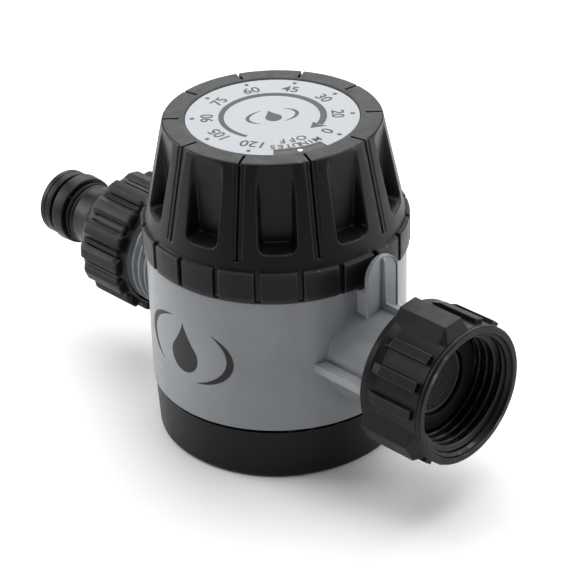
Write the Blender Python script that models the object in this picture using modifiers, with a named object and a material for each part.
"""A wind-up hose timer: a spring clock over a tap valve, with a swivel inlet nut and a quick-connect outlet.

Lengths below are in millimetres and are scaled to metres as each shape is made.
+Z runs up the round body, +X points out of the inlet and -X out of the outlet.
"""

import math

import bmesh
import bpy
from mathutils import Matrix

MM = 0.001
MERGE = 0.00001

# Round body, base cap and knob, all on the Z axis
BODY_R = 30.65
BODY_WALL = 2.3
BODY_LOW = 13.75
BODY_HIGH = 47.6
DECK_LOW = 41.9
DECK_HIGH = 43.7
CAP_HIGH = 13.4
CAP_R = 30.25
COLLAR_R = 31.4
COLLAR_LOW = 48.0
COLLAR_HIGH = 55.15
CONE_R = 30.3
RIM_R = 25.3
KNOB_TOP = 79.6
KNOB_PHASE = 10.7
LABEL_R = 19.95
SCREW_CIRCLE = 23.0
TOUCH = 0.3

# Ports, both on one axis along X
PORT_Z = 29.86
TUBE_R = 12.3
BORE_R = 8.0
THREAD_R = 13.3
THREAD_PITCH = 2.209
NUT_REAR = 42.45
NUT_MOUTH = 60.37
NUT_R = 16.4
LUG_R = 18.8
LUGS = ((87.0, 88.2, 103.5, 115.8), (187.7, 202.0, 217.5, 219.5), (313.0, 325.0, 340.0, 352.0))
NUT_RIBS = (28.0, 49.0, 70.5, 129.0, 151.5, 174.0, 231.0, 251.0, 271.0)
ADAPTOR_NEAR = -39.0
ADAPTOR_FAR = -54.2
ADAPTOR_RIB = 129.5
NIPPLE_TIP = -79.7

# Valve, on a vertical axis between the ports
VALVE_X = 9.0
SEAT_Z = 30.0
STEM_R = 1.8
STEM_TOP = 46.9

# Knob travel, in degrees: clockwise to the longest time, the other way to the always-on dot
TURN_LONGEST = -299.0
TURN_ALWAYS_ON = 25.0
VALVE_TRAVEL = 2.4

# Clock movement
PLATE_R = 21.0
LOWER_PLATE = (50.0, 51.0)
UPPER_PLATE = (61.6, 62.6)
SHAFT_R = 2.5
PIVOT_R = 0.6
PILLAR_CIRCLE = 19.0
PILLAR_ANGLES = (10.0, 130.0, 250.0)
PRESSURE_ANGLE = math.radians(25.0)
PINION_TEETH = 10
TRAIN_START = 40.0

PARTS = None
TOOLS = None


def clear_scene():
    for item in list(bpy.data.objects):
        bpy.data.objects.remove(item, do_unlink=True)


def add_collection(name):
    collection = bpy.data.collections.new(name)
    bpy.context.scene.collection.children.link(collection)
    return collection


def make_material(name, color, roughness, metallic=0.0):
    material = bpy.data.materials.new(name)
    material.use_nodes = True
    shader = material.node_tree.nodes["Principled BSDF"]
    shader.inputs["Base Color"].default_value = (*color, 1.0)
    shader.inputs["Roughness"].default_value = roughness
    shader.inputs["Metallic"].default_value = metallic
    return material


def add_object(name, mesh, material):
    """A mesh with a material is a part. One without is a tool for cutting or joining."""
    item = bpy.data.objects.new(name, mesh)
    if material is None:
        TOOLS.objects.link(item)
        item.display_type = "WIRE"
        item.hide_render = True
    else:
        PARTS.objects.link(item)
        mesh.materials.append(material)
    return item


def polar(radius, degrees):
    angle = math.radians(degrees)
    return (radius * math.cos(angle), radius * math.sin(angle))


def circle(radius, sides, centre=(0.0, 0.0)):
    points = (polar(radius, 360.0 * i / sides) for i in range(sides))
    return [(centre[0] + x, centre[1] + y) for x, y in points]


def arc(centre, radius, first, last, count):
    """Points on a round corner of a profile, from one angle to another."""
    turns = (first + (last - first) * i / (count - 1) for i in range(count))
    return [(centre[0] + x, centre[1] + y) for x, y in (polar(radius, turn) for turn in turns)]


def turned(name, profile, steps, material=None, axis="Z", place=(0.0, 0.0, 0.0)):
    """A profile of (radius, height) turned about Z or X. One that stays off the axis makes a ring."""
    points = [(radius * MM, 0.0, height * MM) for radius, height in profile]
    edges = [(i, i + 1) for i in range(len(points) - 1)]
    if min(radius for radius, height in profile) > 0.0:
        edges.append((len(points) - 1, 0))
    mesh = bpy.data.meshes.new(name)
    mesh.from_pydata(points, edges, [])
    item = add_object(name, mesh, material)
    screw = item.modifiers.new("Turn", "SCREW")
    screw.steps = steps
    screw.render_steps = steps
    screw.use_merge_vertices = True
    screw.merge_threshold = MERGE
    item.location = [value * MM for value in place]
    if axis == "X":
        item.rotation_euler = (0.0, math.pi / 2, 0.0)
    return item


def ring_seal(name, radius, section, height, material, axis="Z", place=(0.0, 0.0, 0.0)):
    """A rubber O-ring of the given mean radius and section radius."""
    profile = [
        (radius + x, height + y)
        for x, y in (polar(section, 90.0 - 60.0 * i) for i in range(6))
    ]
    return turned(name, profile, 16, material, axis, place)


def prism(name, loops, low, high, material=None, axis="Z", place=(0.0, 0.0, 0.0)):
    """Flat outlines pushed along Z, X or -Y. Loops inside the first one are holes."""
    curve = bpy.data.curves.new(name, "CURVE")
    curve.dimensions = "2D"
    curve.fill_mode = "BOTH"
    curve.extrude = (high - low) / 2 * MM
    for loop in loops:
        spline = curve.splines.new("POLY")
        spline.points.add(len(loop) - 1)
        spline.use_cyclic_u = True
        for point, (x, y) in zip(spline.points, loop):
            point.co = (x * MM, y * MM, 0.0, 1.0)
    outline = bpy.data.objects.new(name + "_outline", curve)
    TOOLS.objects.link(outline)
    depsgraph = bpy.context.evaluated_depsgraph_get()
    mesh = bpy.data.meshes.new_from_object(outline.evaluated_get(depsgraph))
    bpy.data.objects.remove(outline, do_unlink=True)
    mesh.transform(Matrix.Translation((0.0, 0.0, (high + low) / 2 * MM)))
    if axis == "X":
        mesh.transform(Matrix(((0, 0, 1, 0), (1, 0, 0, 0), (0, 1, 0, 0), (0, 0, 0, 1))))
    if axis == "-Y":
        mesh.transform(Matrix(((1, 0, 0, 0), (0, 0, -1, 0), (0, 1, 0, 0), (0, 0, 0, 1))))
    weld(mesh)
    item = add_object(name, mesh, material)
    item.location = [value * MM for value in place]
    return item


def weld(mesh):
    work = bmesh.new()
    work.from_mesh(mesh)
    bmesh.ops.remove_doubles(work, verts=work.verts, dist=MERGE)
    bmesh.ops.recalc_face_normals(work, faces=work.faces)
    work.to_mesh(mesh)
    work.free()


def cylinder(name, radius, low, high, axis="Z", centre=(0.0, 0.0), sides=14):
    """A tool. The centre is (x, y) for an upright one and (y, z) for one along X.

    It is turned by half a side, so that its corners don't fall on the seams of the shape it meets.
    """
    work = bmesh.new()
    bmesh.ops.create_cone(
        work, cap_ends=True, segments=sides,
        radius1=radius * MM, radius2=radius * MM, depth=(high - low) * MM,
    )
    mesh = bpy.data.meshes.new(name)
    work.to_mesh(mesh)
    work.free()
    mesh.transform(Matrix.Rotation(math.pi / sides, 4, "Z"))
    item = add_object(name, mesh, None)
    middle = (low + high) / 2
    if axis == "X":
        item.rotation_euler = (0.0, math.pi / 2, 0.0)
        item.location = (middle * MM, centre[0] * MM, centre[1] * MM)
    else:
        item.location = (centre[0] * MM, centre[1] * MM, middle * MM)
    return item


def block(name, low, high):
    """A tool: a box between two corners."""
    work = bmesh.new()
    bmesh.ops.create_cube(work, size=1.0)
    size = [(b - a) * MM for a, b in zip(low, high)]
    bmesh.ops.scale(work, vec=size, verts=work.verts)
    mesh = bpy.data.meshes.new(name)
    work.to_mesh(mesh)
    work.free()
    item = add_object(name, mesh, None)
    item.location = [(a + b) / 2 * MM for a, b in zip(low, high)]
    return item


def loft(name, sections, material=None):
    """A solid skin through closed sections that all have the same number of points."""
    work = bmesh.new()
    rings = [[work.verts.new([value * MM for value in point]) for point in section] for section in sections]
    count = len(rings[0])
    for near, far in zip(rings, rings[1:]):
        for i in range(count):
            j = (i + 1) % count
            work.faces.new((near[i], near[j], far[j], far[i]))
    work.faces.new(rings[0][::-1])
    work.faces.new(rings[-1])
    bmesh.ops.recalc_face_normals(work, faces=work.faces)
    mesh = bpy.data.meshes.new(name)
    work.to_mesh(mesh)
    work.free()
    return add_object(name, mesh, material)


def repeat_about_z(item, angles):
    """Replaces a tool's mesh with copies of it turned about Z, none of which touch each other."""
    single = item.data
    work = bmesh.new()
    for angle in angles:
        copy = single.copy()
        copy.transform(Matrix.Rotation(math.radians(angle), 4, "Z"))
        work.from_mesh(copy)
    mesh = bpy.data.meshes.new(single.name + "_set")
    work.to_mesh(mesh)
    work.free()
    item.data = mesh
    return item


def combine(item, tool, operation):
    change = item.modifiers.new(tool.name, "BOOLEAN")
    change.operation = operation
    change.object = tool
    change.solver = "EXACT"


def join(item, *tools):
    for tool in tools:
        combine(item, tool, "UNION")


def cut(item, *tools):
    for tool in tools:
        combine(item, tool, "DIFFERENCE")


def joint_axis(name, place, *children):
    """An empty on a joint's axis, which carries the pieces that move together."""
    empty = bpy.data.objects.new(name, None)
    PARTS.objects.link(empty)
    empty.location = [value * MM for value in place]
    empty.empty_display_size = 0.005
    bpy.context.view_layer.update()
    for child in children:
        child.parent = empty
        child.matrix_parent_inverse = empty.matrix_world.inverted()
    return empty


def corner_places():
    return [polar(SCREW_CIRCLE, 45.0 + 90.0 * i) for i in range(4)]


def pillar_places():
    return [polar(PILLAR_CIRCLE, angle) for angle in PILLAR_ANGLES]


# Housing


def port_profile():
    """Outside of both ports: nut flange, neck, stub, then the threaded spout."""
    profile = [(0.0, 48.6), (12.0, 48.6), (12.0, 46.4), (10.2, 46.4), (10.2, 42.0), (TUBE_R, 42.0)]
    first = -32.4
    for i in range(7):
        profile.append((TUBE_R, first - i * THREAD_PITCH))
        profile.append((THREAD_R, first - (i + 0.5) * THREAD_PITCH))
    profile += [(TUBE_R, -48.0), (TUBE_R - 0.6, -48.8), (0.0, -48.8)]
    return profile


def pointer_tools():
    """The upright arch beside the dial, its centre rib, its stand-off and the rib along the stub."""
    half = 4.8
    top = 55.7
    foot = PORT_Z + TUBE_R - 2.5
    arch = [(-half, foot), (half, foot)] + arc((0.0, top - half), half, 0.0, 180.0, 13)
    rib = [(33.6, foot), (41.8, foot), (41.8, 43.9), (35.5, 43.9), (35.5, top - 0.6), (33.6, top - 0.6)]
    return [
        block("pointer_standoff", (29.5, -4.4, foot), (33.4, 4.4, BODY_HIGH - TOUCH)),
        prism("pointer_plate", [arch], 33.0, 34.2, axis="X"),
        prism("pointer_rib", [rib], -0.55, 0.55, axis="-Y"),
    ]


def housing_joins():
    tools = [
        cylinder("deck", BODY_R - 1.6, DECK_LOW, DECK_HIGH, sides=48),
        turned("ports", port_profile(), 30, axis="X", place=(0.0, 0.0, PORT_Z)),
        cylinder("valve_boss", 11.0, 17.2, SEAT_Z, centre=(VALVE_X, 0.0), sides=20),
    ]
    for i, place in enumerate(corner_places()):
        tools.append(cylinder(f"base_boss_{i}", 3.2, 15.0, DECK_LOW + 0.6, centre=place, sides=10))
    for i, place in enumerate(pillar_places()):
        tools.append(cylinder(f"clock_boss_{i}", 2.6, DECK_LOW + 0.6, LOWER_PLATE[0] - TOUCH, centre=place, sides=10))
    for side in (-1, 1):
        y_low, y_high = sorted((side * 10.5, side * 15.0))
        tools.append(block(f"side_rib_{side}", (24.0, y_low, PORT_Z - 1.2), (41.8, y_high, PORT_Z + 1.2)))
    return tools + pointer_tools()


def housing_cuts():
    """Water enters low, rises through the seat under the valve disc and leaves through the upper channel."""
    axis = (0.0, PORT_Z)
    tools = [
        cylinder("inlet_bore", BORE_R, 19.5, 50.0, "X", axis, 20),
        cylinder("outlet_bore", BORE_R, -50.0, -2.5, "X", axis, 20),
        cylinder("lower_channel", 4.5, VALVE_X, 20.5, "X", (0.0, 25.0)),
        cylinder("upper_channel", 4.2, -4.0, VALVE_X, "X", (0.0, 34.8)),
        cylinder("valve_well", BORE_R, 16.5, SEAT_Z, centre=(VALVE_X, 0.0), sides=20),
        cylinder("seat_recess", 7.2, SEAT_Z - 0.5, 32.6, centre=(VALVE_X, 0.0), sides=20),
        cylinder("riser", 5.0, 32.0, 38.5, centre=(VALVE_X, 0.0)),
        cylinder("stem_bore", STEM_R + TOUCH, 38.0, 45.0, centre=(VALVE_X, 0.0), sides=16),
        cylinder("seal_recess", 3.9, 42.1, 45.0, centre=(VALVE_X, 0.0), sides=20),
        cylinder("shaft_pivot", 1.8, 42.5, 45.0, sides=16),
    ]
    for i, place in enumerate(corner_places()):
        tools.append(cylinder(f"base_pilot_{i}", 1.6, 14.0, 26.0, centre=place, sides=6))
    for i, place in enumerate(pillar_places()):
        tools.append(cylinder(f"clock_pilot_{i}", 1.3, 44.6, 51.0, centre=place, sides=8))
    return tools


def make_housing(material):
    inner = BODY_R - BODY_WALL
    profile = [(BODY_R, BODY_HIGH), (BODY_R, BODY_LOW), (inner, BODY_LOW), (inner, BODY_HIGH)]
    housing = turned("housing", profile, 48, material)
    join(housing, *housing_joins())
    cut(housing, *housing_cuts())
    return housing


# Base cap and its screws


def make_base_cap(material):
    corner = 2.2
    low_r = CAP_R - 0.65
    spigot = BODY_R - BODY_WALL - 0.45
    profile = [(0.0, 2.2), (spigot - 0.9, 2.2), (spigot - 0.9, 17.2), (spigot, 17.2), (spigot, CAP_HIGH)]
    profile += [(CAP_R, CAP_HIGH)]
    profile += arc((low_r - corner, corner), corner, 0.0, -90.0, 4)
    profile += [(0.0, 0.0)]
    cap = turned("base_cap", profile, 40, material)
    support = turned(
        "bonnet_support", [(10.4, 13.6), (10.4, 1.5), (8.5, 1.5), (8.5, 13.6)], 20, place=(VALVE_X, 0.0, 0.0)
    )
    join(cap, support)
    for i, place in enumerate(corner_places()):
        join(cap, cylinder(f"cap_post_{i}", 3.4, 1.5, 14.7, centre=place, sides=10))
        cut(cap, cylinder(f"cap_counterbore_{i}", 3.1, -1.0, 3.5, centre=place, sides=10))
        cut(cap, cylinder(f"cap_hole_{i}", 1.7, 3.0, 16.0, centre=place, sides=8))
    return cap


def make_base_screws(material):
    profile = [(0.0, 24.0), (0.9, 24.0), (1.3, 23.0), (1.3, 3.2), (2.8, 3.2), (2.8, 1.6), (2.3, 1.2), (0.0, 1.2)]
    for i, (x, y) in enumerate(corner_places()):
        turned(f"base_screw_{i + 1}", profile, 10, material, place=(x, y, 0.0))


# Knob group


def knob_profile():
    return [
        (LABEL_R + 0.3, KNOB_TOP), (RIM_R - 0.4, KNOB_TOP), (RIM_R, KNOB_TOP - 0.5),
        (CONE_R, COLLAR_HIGH + 0.4), (COLLAR_R, COLLAR_HIGH), (COLLAR_R, COLLAR_LOW),
        (29.0, COLLAR_LOW), (29.0, 52.0), (27.0, 54.5), (23.0, 58.0), (23.0, 75.5),
        (5.6, 75.5), (5.6, 70.9), (SHAFT_R + TOUCH, 70.9), (SHAFT_R + TOUCH, 75.5),
        (1.7, 75.5), (1.7, 76.8), (4.2, 76.8), (4.2, 78.7), (LABEL_R + 0.3, 78.7),
    ]


def make_knob(material):
    """Ten scoops and ten grooves by turns on the cone, and twenty blocks round the collar."""
    knob = turned("knob", knob_profile(), 40, material)
    groove_angles = [KNOB_PHASE + 36.0 * i for i in range(10)]
    scoop_angles = [angle + 18.0 for angle in groove_angles]
    gap_angles = [KNOB_PHASE + 9.0 + 18.0 * i for i in range(20)]
    half = 4.1
    corner = 1.6
    foot = 60.3
    scoop = [(half, 82.0)] + [(-half, 82.0)]
    scoop += arc((-half + corner, foot + corner), corner, 180.0, 270.0, 4)
    scoop += arc((half - corner, foot + corner), corner, 270.0, 360.0, 4)
    groove = [
        (21.4, 81.0), (21.4, 78.9), (RIM_R - 0.9, 78.9), (29.0, 57.5), (32.0, 57.5), (27.0, 81.0),
    ]
    gap = [(30.6, 47.0), (32.5, 47.0), (32.5, 56.0), (30.6, 56.0)]
    cut(
        knob,
        repeat_about_z(prism("scoop", [scoop], 25.0, 34.0, axis="X"), scoop_angles),
        repeat_about_z(prism("groove", [groove], -0.4, 0.4, axis="-Y"), groove_angles),
        repeat_about_z(prism("collar_gap", [gap], -0.45, 0.45, axis="-Y"), gap_angles),
    )
    return knob


def make_dial_label(material):
    """A thin disc with a step cut from its edge between the zero mark and the longest time."""
    notch_r = 17.3
    first = KNOB_PHASE - 36.0 - 18.5
    last = first + 37.0
    outline = arc((0.0, 0.0), LABEL_R, last, first + 360.0, 37)
    outline += arc((0.0, 0.0), notch_r, first + 360.0, last + 360.0, 6)
    return prism("dial_label", [outline], 79.0, 79.35, material)


def make_shaft(material):
    profile = [
        (0.0, 69.5), (1.7, 69.5), (1.7, 75.2), (SHAFT_R, 75.2), (SHAFT_R, 44.6),
        (1.5, 44.6), (1.5, 42.9), (0.0, 42.9),
    ]
    return turned("timer_shaft", profile, 16, material)


def make_knob_screw(material):
    profile = [(0.0, 78.3), (3.2, 78.3), (3.8, 77.7), (3.8, 77.1), (1.4, 77.1), (1.4, 71.0), (0.0, 70.2)]
    return turned("knob_screw", profile, 16, material)


def make_cam(material):
    """A disc whose underside is a helical ramp: the further the knob is wound, the lower it pushes the stem."""
    disc = [(12.0, 49.2), (12.0, 48.0), (6.0, 48.0), (6.0, 45.4), (SHAFT_R + TOUCH, 45.4), (SHAFT_R + TOUCH, 49.2)]
    cam = turned("timer_cam", disc, 24, material)
    rise = VALVE_TRAVEL / -TURN_LONGEST
    first = -TURN_ALWAYS_ON - 13.0
    last = -TURN_LONGEST + 13.0
    count = 18
    sections = []
    for i in range(count + 1):
        angle = first + (last - first) * i / count
        face = STEM_TOP + TOUCH - rise * angle
        near = polar(7.0, angle)
        far = polar(11.0, angle)
        sections.append([(*near, 48.4), (*far, 48.4), (*far, face), (*near, face)])
    join(cam, loft("cam_ramp", sections))
    return cam


# Clock movement


def tooth_half_angle(radius, pitch_r, teeth, backlash):
    """Half of a tooth's angle at a radius, on involute flanks."""
    base_r = pitch_r * math.cos(PRESSURE_ANGLE)
    local = math.acos(min(1.0, base_r / max(radius, base_r)))
    at_pitch = math.pi / (2 * teeth) - backlash / (2 * pitch_r)
    return at_pitch + math.tan(PRESSURE_ANGLE) - PRESSURE_ANGLE - (math.tan(local) - local)


def gear_outline(module, teeth, phase):
    """Teeth with straight flanks between the root and the tip of an involute, so a little thinner than one."""
    pitch_r = module * teeth / 2
    radii = [pitch_r - 1.2 * module, pitch_r + 0.75 * module]
    halves = [tooth_half_angle(r, pitch_r, teeth, 0.25 * module) for r in radii]
    outline = []
    for i in range(teeth):
        middle = math.radians(phase) + 2 * math.pi * i / teeth
        sides = [(r, middle - half) for r, half in zip(radii, halves)]
        sides += [(r, middle + half) for r, half in zip(radii[::-1], halves[::-1])]
        outline += [(r * math.cos(turn), r * math.sin(turn)) for r, turn in sides]
    return outline


def mesh_phase(angle, teeth_a, phase_a, teeth_b):
    """The phase that puts a gap of gear b on a tooth of gear a, when b lies at the given angle from a."""
    share = (angle - phase_a) * teeth_a / 360.0
    return angle + 180.0 - (0.5 - share) * 360.0 / teeth_b


def step_round(place, radius, distance):
    """The next point of the train: at a radius from the centre, and a distance from the last point."""
    last_r = math.hypot(*place)
    turn = math.acos((last_r**2 + radius**2 - distance**2) / (2 * last_r * radius))
    return polar(radius, math.degrees(math.atan2(place[1], place[0]) + turn))


def direction(start, end):
    return math.degrees(math.atan2(end[1] - start[1], end[0] - start[0]))


def train_places():
    """Arbors of the second, third and escape wheels, the pallet lever and the balance."""
    second = polar(12.5, TRAIN_START)
    third = step_round(second, 13.0, 8.4)
    escape = step_round(third, 13.2, 7.6)
    pallet = step_round(escape, 13.5, 8.2)
    balance = step_round(pallet, 12.5, 8.0)
    return second, third, escape, pallet, balance


def arbor(name, material, place, body_r=0.8):
    """A steel arbor with a thin pivot at each end, which turns in holes in the two plates."""
    low = LOWER_PLATE[1] + TOUCH
    high = UPPER_PLATE[0] - TOUCH
    profile = [
        (0.0, UPPER_PLATE[1] - 0.2), (PIVOT_R, UPPER_PLATE[1] - 0.2), (PIVOT_R, high), (body_r, high),
        (body_r, low), (PIVOT_R, low), (PIVOT_R, LOWER_PLATE[0] + 0.2), (0.0, LOWER_PLATE[0] + 0.2),
    ]
    return turned(name, profile, 8, material, place=(*place, 0.0))


def make_train(brass):
    """Each wheel drives the pinion of the next, one storey higher."""
    second_place, third_place, escape_place, _, _ = train_places()
    gears = [
        ("second_wheel", second_place, 0.5, 0.42, 30, 51.7, 55.0),
        ("third_wheel", third_place, 0.42, 0.4, 28, 54.5, 57.4),
        ("escape_wheel", escape_place, 0.4, None, 15, 56.9, 59.6),
    ]
    wheel_phase = 0.0
    great = gear_outline(0.5, 40, wheel_phase)
    great_wheel = prism("great_wheel", [great, circle(SHAFT_R + TOUCH, 12)], 52.2, 53.2, brass)
    last_place = (0.0, 0.0)
    last_teeth = 40
    moving = []
    for name, place, pinion_module, wheel_module, teeth, pinion_low, wheel_low in gears:
        phase = mesh_phase(direction(last_place, place), last_teeth, wheel_phase, PINION_TEETH)
        item = arbor(name, brass, place)
        leaves = gear_outline(pinion_module, PINION_TEETH, phase)
        join(item, prism(name + "_pinion", [leaves], pinion_low, pinion_low + 2.2, place=(*place, 0.0)))
        wheel_phase = 0.0
        if wheel_module is None:
            outline = escape_outline(teeth)
        else:
            outline = gear_outline(wheel_module, teeth, wheel_phase)
        join(item, prism(name + "_disc", [outline], wheel_low, wheel_low + 0.8, place=(*place, 0.0)))
        moving.append(item)
        last_place = place
        last_teeth = teeth
    return great_wheel, moving


def escape_outline(teeth):
    """Pointed teeth that lean the way the wheel turns."""
    outline = []
    for i in range(teeth):
        angle = 360.0 * i / teeth
        outline += [polar(4.0, angle), polar(5.0, angle + 9.0), polar(5.0, angle + 12.0)]
    return outline


def make_pallet_lever(steel):
    """An anchor that straddles the escape wheel, with a fork on its tail for the balance."""
    _, _, escape, place, _ = train_places()
    half = [(3.6, 2.7), (3.6, 3.5), (2.6, 3.7), (0.9, 1.1), (-3.6, 0.7), (-4.0, 0.9), (-4.2, 0.3), (-3.3, 0.3)]
    outline = [(1.3, 0.0)] + half + [(x, -y) for x, y in half[::-1]]
    turn = math.radians(direction(place, escape))
    turned_outline = [
        (x * math.cos(turn) - y * math.sin(turn), x * math.sin(turn) + y * math.cos(turn)) for x, y in outline
    ]
    lever = arbor("pallet_lever", steel, place)
    join(lever, prism("pallet_anchor", [turned_outline], 59.5, 60.5, place=(*place, 0.0)))
    return lever


def make_balance(brass, steel):
    """A spoked ring that swings on its arbor against a flat hairspring."""
    place = train_places()[4]
    wheel = arbor("balance_wheel", brass, place)
    rim = turned("balance_rim", [(6.0, 56.0), (6.0, 55.0), (5.0, 55.0), (5.0, 56.0)], 20, place=(*place, 0.0))
    spoke = block("balance_spoke", (place[0] - 5.5, place[1] - 0.5, 55.1), (place[0] + 5.5, place[1] + 0.5, 55.9))
    join(wheel, rim, spoke)
    coil = spiral(1.3, 4.4, 2, 14, 0.25)
    prism("hairspring", [coil], 57.4, 58.2, steel, place=(*place, 0.0))
    return wheel


def spiral(inner, outer, turns, per_turn, thickness):
    """The outline of a flat strip wound from an inner to an outer radius."""
    count = turns * per_turn
    radii = [inner + (outer - inner) * i / count for i in range(count + 1)]
    angles = [360.0 * i / per_turn for i in range(count + 1)]
    outside = [polar(r + thickness / 2, angle) for r, angle in zip(radii, angles)]
    inside = [polar(r - thickness / 2, angle) for r, angle in zip(radii, angles)]
    return outside + inside[::-1]


def plate_holes():
    holes = [circle(SHAFT_R + TOUCH, 12)]
    holes += [circle(PIVOT_R + 0.25, 6, place) for place in train_places()]
    holes += [circle(1.3, 8, place) for place in pillar_places()]
    return holes


def make_frame(brass, steel):
    prism("lower_plate", [circle(PLATE_R, 32)] + plate_holes(), *LOWER_PLATE, brass)
    prism("upper_plate", [circle(PLATE_R, 32)] + plate_holes(), *UPPER_PLATE, brass)
    low = LOWER_PLATE[1] + TOUCH
    high = UPPER_PLATE[0] - TOUCH
    head = UPPER_PLATE[1] + TOUCH
    pillar = [(1.9, high), (1.9, low), (1.3, low), (1.3, high)]
    screw = [(0.0, head + 1.2), (1.6, head + 1.2), (2.0, head + 0.8), (2.0, head), (1.0, head), (1.0, 46.0), (0.0, 45.2)]
    for i, (x, y) in enumerate(pillar_places()):
        turned(f"clock_pillar_{i + 1}", pillar, 10, brass, place=(x, y, 0.0))
        turned(f"clock_screw_{i + 1}", screw, 8, steel, place=(x, y, 0.0))


def make_mainspring(brass, steel):
    """The spring that the knob winds, in a cup with a lid on top of the clock."""
    cup = [(16.5, 69.5), (16.5, 62.9), (3.0, 62.9), (3.0, 63.9), (15.3, 63.9), (15.3, 69.5)]
    turned("spring_barrel", cup, 28, brass)
    turned("barrel_lid", [(16.5, 70.4), (16.5, 69.8), (3.2, 69.8), (3.2, 70.4)], 28, brass)
    prism("mainspring", [spiral(3.6, 14.6, 4, 14, 0.4)], 64.2, 69.2, steel)


# Valve


def make_valve(plastic, rubber, brass, steel):
    place = (VALVE_X, 0.0, 0.0)
    stem = [
        (0.0, STEM_TOP), (1.3, STEM_TOP), (STEM_R, STEM_TOP - 0.5), (STEM_R, 27.6),
        (4.0, 27.6), (4.0, 26.4), (0.0, 26.4),
    ]
    disc = [(6.2, 29.7), (6.2, 27.9), (STEM_R + TOUCH, 27.9), (STEM_R + TOUCH, 29.7)]
    seat = [(6.9, 32.3), (6.9, SEAT_Z + TOUCH), (4.4, SEAT_Z + TOUCH), (4.4, 32.3)]
    gland = [(4.4, 44.4), (4.4, 44.0), (STEM_R + TOUCH, 44.0), (STEM_R + TOUCH, 44.4)]
    bonnet = [(0.0, 18.6), (7.6, 18.6), (7.6, 15.4), (10.6, 15.4), (10.6, 13.9), (0.0, 13.9)]
    moving = [
        turned("valve_stem", stem, 16, brass, place=place),
        turned("valve_disc", disc, 20, rubber, place=place),
    ]
    turned("valve_seat", seat, 20, brass, place=place)
    turned("gland_washer", gland, 16, steel, place=place)
    turned("valve_bonnet", bonnet, 20, plastic, place=place)
    ring_seal("bonnet_seal", 8.7, 0.6, 16.3, rubber, place=place)
    ring_seal("stem_seal", 2.95, 0.7, 43.1, rubber, place=place)
    make_return_spring(steel)
    return moving


def make_return_spring(steel):
    wire = 0.45
    low = 18.6 + TOUCH + wire
    high = 26.4 - TOUCH - wire
    turns = 3.5
    count = 32
    curve = bpy.data.curves.new("return_spring", "CURVE")
    curve.dimensions = "3D"
    curve.bevel_depth = wire * MM
    curve.bevel_resolution = 2
    curve.use_fill_caps = True
    spline = curve.splines.new("POLY")
    spline.points.add(count)
    for i, point in enumerate(spline.points):
        x, y = polar(4.6, 360.0 * turns * i / count)
        point.co = (x * MM, y * MM, (low + (high - low) * i / count) * MM, 1.0)
    curve.materials.append(steel)
    spring = bpy.data.objects.new("return_spring", curve)
    PARTS.objects.link(spring)
    spring.location = (VALVE_X * MM, 0.0, 0.0)
    return spring


# Inlet


def lug_section(x, top_r, corners):
    """A lug across the port axis. Its four angles are foot, top edge, top edge and foot."""
    radii = (15.8, top_r, top_r, 15.8)
    return [(x, y, PORT_Z + z) for y, z in (polar(radius, turn) for radius, turn in zip(radii, corners))]


def sector(x, low_r, high_r, low_half, high_half, angle):
    """A four-sided section across the port axis: wide at the bottom, narrow at the top."""
    corners = [(low_r, angle - low_half), (high_r, angle - high_half), (high_r, angle + high_half), (low_r, angle + low_half)]
    return [(x, y, PORT_Z + z) for y, z in (polar(radius, turn) for radius, turn in corners)]


def make_inlet_nut(material):
    """Three flat-topped lugs, three small ribs between each pair of them and a threaded socket."""
    profile = [
        (16.3, NUT_MOUTH), (16.66, NUT_MOUTH - 0.4), (16.66, 58.6), (NUT_R, 58.2), (NUT_R, 45.6),
        (17.0, 45.2), (17.0, 43.0), (16.6, NUT_REAR), (10.6, NUT_REAR), (10.6, 45.9), (13.6, 45.9),
    ]
    for i in range(3):
        start = 51.7 + i * THREAD_PITCH
        profile += [(13.6, start), (12.5, start + THREAD_PITCH / 2)]
    profile += [(13.6, 59.4), (14.08, NUT_MOUTH)]
    nut = turned("inlet_nut", profile, 30, material, axis="X", place=(0.0, 0.0, PORT_Z))
    for i, corners in enumerate(LUGS):
        first, second, third, last = corners
        low_corners = (first, first + 0.3 * (second - first), last - 0.3 * (last - third), last)
        sections = [
            lug_section(NUT_REAR + 0.9, LUG_R, corners),
            lug_section(57.0, LUG_R, corners),
            lug_section(59.3, 16.6, low_corners),
        ]
        join(nut, loft(f"lug_{i}", sections))
    for middle in NUT_RIBS:
        rib = [sector(x, 15.8, 17.5, 4.6, 3.8, middle) for x in (45.3, 57.9)]
        join(nut, loft(f"rib_{middle:.0f}", rib))
    return nut


def make_inlet_filter(rubber, steel):
    washer = [(12.1, 51.3), (12.1, 48.9), (8.3, 48.9), (8.3, 51.3)]
    turned("inlet_washer", washer, 24, rubber, axis="X", place=(0.0, 0.0, PORT_Z))
    holes = [circle(1.6, 8)]
    holes += [circle(1.6, 8, polar(5.0, 60.0 * i)) for i in range(6)]
    prism("inlet_screen", [circle(7.9, 24)] + holes, 49.6, 50.4, steel, "X", (0.0, 0.0, PORT_Z))


# Outlet


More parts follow.
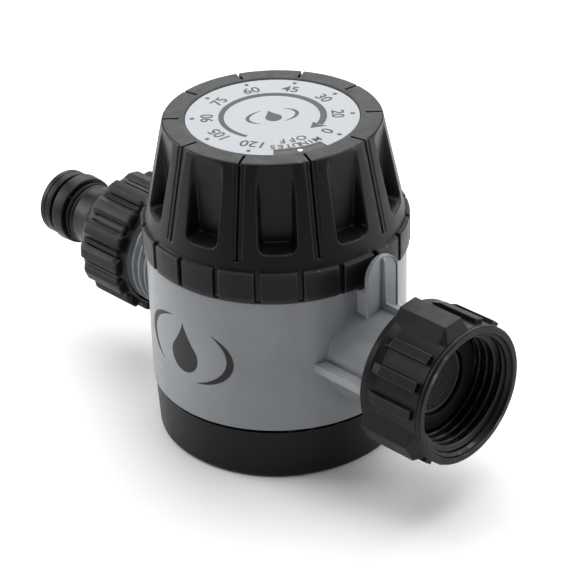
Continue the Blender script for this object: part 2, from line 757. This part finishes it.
def make_outlet(plastic, rubber):
    """A ribbed nut and a click-connector nipple in one moulding, screwed on the spout over a washer."""
    profile = [
        (14.5, ADAPTOR_NEAR), (14.5, -41.4), (15.3, -41.4), (15.3, ADAPTOR_FAR), (13.6, -56.4), (10.6, -57.8),
        (8.9, -60.5), (8.4, -68.6), (6.8, -68.6), (6.8, -71.1), (8.6, -71.1), (8.6, -73.7), (6.8, -73.7),
        (6.8, -76.1), (8.2, -76.1), (8.2, -79.2), (7.7, NIPPLE_TIP),
        (4.6, NIPPLE_TIP), (4.6, -51.6), (13.7, -51.6), (13.7, ADAPTOR_NEAR),
    ]
    place = (0.0, 0.0, PORT_Z)
    adaptor = turned("outlet_adaptor", profile, 24, plastic, axis="X", place=place)
    for i in range(15):
        angle = ADAPTOR_RIB + 24.0 * i
        rib = [
            sector(ADAPTOR_NEAR, 14.0, 16.4, 5.0, 4.4, angle),
            sector(ADAPTOR_FAR + 0.8, 14.0, 16.4, 5.0, 4.4, angle),
            sector(ADAPTOR_FAR - 0.6, 14.0, 15.2, 5.0, 4.4, angle),
        ]
        join(adaptor, loft(f"adaptor_rib_{i}", rib))
    washer = [(13.2, -49.1), (13.2, -51.3), (8.0, -51.3), (8.0, -49.1)]
    washer = turned("outlet_washer", washer, 20, rubber, axis="X", place=place)
    seals = [
        ring_seal("nipple_seal_1", 8.1, 0.95, -74.9, rubber, "X", place),
        ring_seal("nipple_seal_2", 8.1, 0.95, -69.85, rubber, "X", place),
    ]
    return adaptor, washer, seals


def build():
    global PARTS, TOOLS
    clear_scene()
    PARTS = add_collection("hose_timer")
    TOOLS = add_collection("tools")
    grey = make_material("housing_grey", (0.20, 0.21, 0.225), 0.45)
    black = make_material("moulded_black", (0.022, 0.022, 0.023), 0.5)
    silver = make_material("label_silver", (0.62, 0.65, 0.68), 0.35)
    rubber = make_material("rubber", (0.012, 0.012, 0.013), 0.7)
    brass = make_material("brass", (0.72, 0.52, 0.22), 0.3, 1.0)
    steel = make_material("steel", (0.55, 0.55, 0.56), 0.3, 1.0)
    acetal = make_material("acetal", (0.75, 0.74, 0.70), 0.45)

    make_housing(grey)
    make_base_cap(black)
    make_base_screws(steel)
    make_frame(brass, steel)
    make_mainspring(brass, steel)
    make_inlet_filter(rubber, steel)

    great_wheel, train = make_train(brass)
    knob_parts = [make_knob(black), make_dial_label(silver), make_shaft(steel), make_knob_screw(steel)]
    joint_axis("knob_axis", (0.0, 0.0, COLLAR_LOW), *knob_parts, make_cam(acetal), great_wheel)
    pallet = make_pallet_lever(steel)
    balance = make_balance(brass, steel)
    for item, place in zip(train + [pallet, balance], train_places()):
        joint_axis(item.name + "_axis", (*place, LOWER_PLATE[0]), item)
    joint_axis("valve_axis", (VALVE_X, 0.0, SEAT_Z), *make_valve(acetal, rubber, brass, steel))
    joint_axis("inlet_axis", (NUT_REAR, 0.0, PORT_Z), make_inlet_nut(black))
    adaptor, washer, seals = make_outlet(black, rubber)
    joint_axis("outlet_axis", (ADAPTOR_NEAR, 0.0, PORT_Z), adaptor, washer, *seals)


build()
